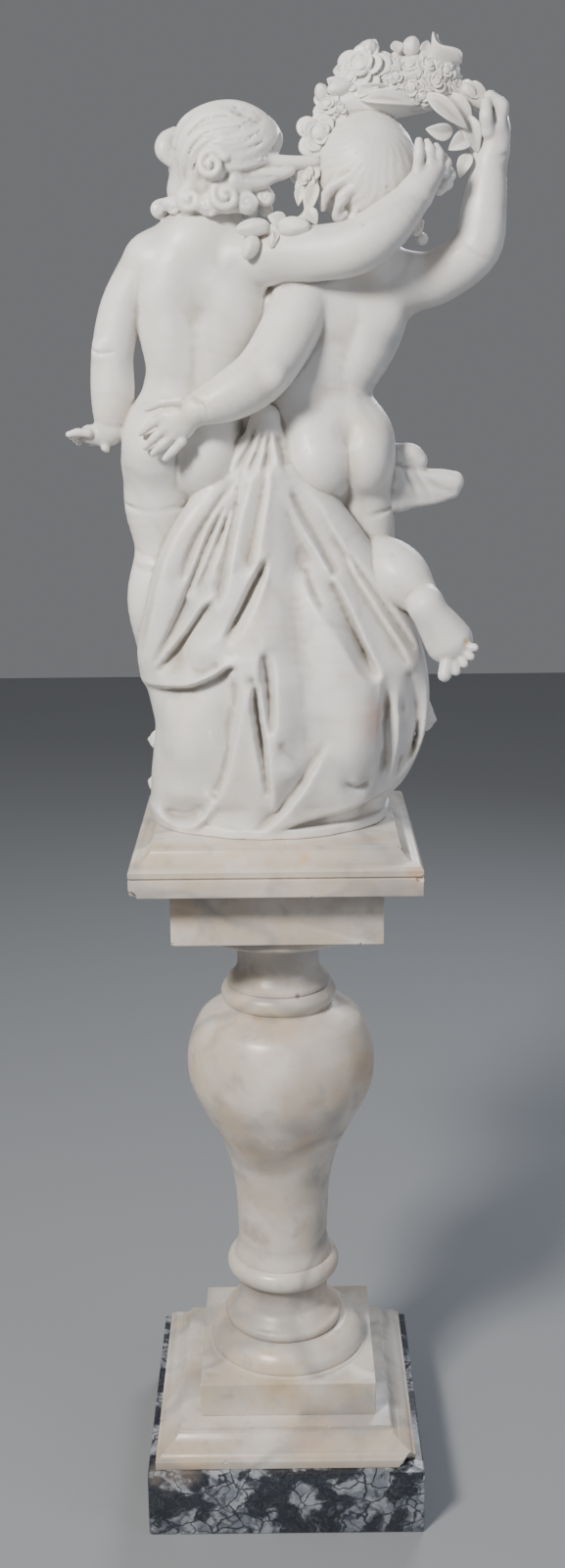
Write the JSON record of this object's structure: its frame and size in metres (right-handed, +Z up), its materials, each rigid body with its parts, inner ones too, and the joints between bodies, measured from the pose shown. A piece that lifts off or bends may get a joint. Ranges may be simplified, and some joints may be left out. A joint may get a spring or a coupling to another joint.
{
  "type": "marble putti statue on a turned pedestal",
  "caption": "Carved marble group of embracing putti with drapery and a rose garland, on its own turned and moulded marble pedestal",
  "frame": {"origin": "centre of the base block's underside, on the floor", "axes": "+Z up; the figures' backs and the drapery face -Y; +X is towards the figure with the raised arm"},
  "size_m": [0.5498, 0.38, 1.9392],
  "materials": {
    "statuary_marble": "white statuary marble, honed satin, lightly weathered, with grey dust in the folds and a few warm stains",
    "pedestal_marble": "warm white marble, softly polished, with faint grey clouds, ochre stains near the joints and small chips",
    "veined_marble": "blue-black breccia-like marble with grey and white veins, polished"
  },
  "bodies": {
    "root": {"base_block": "veined_marble", "base_plinth": "pedestal_marble", "foot": "pedestal_marble", "shaft": "pedestal_marble", "capital": "pedestal_marble", "under_slab": "pedestal_marble", "top_slab": "pedestal_marble", "putti_group": "statuary_marble"}
  },
  "joints": []
}
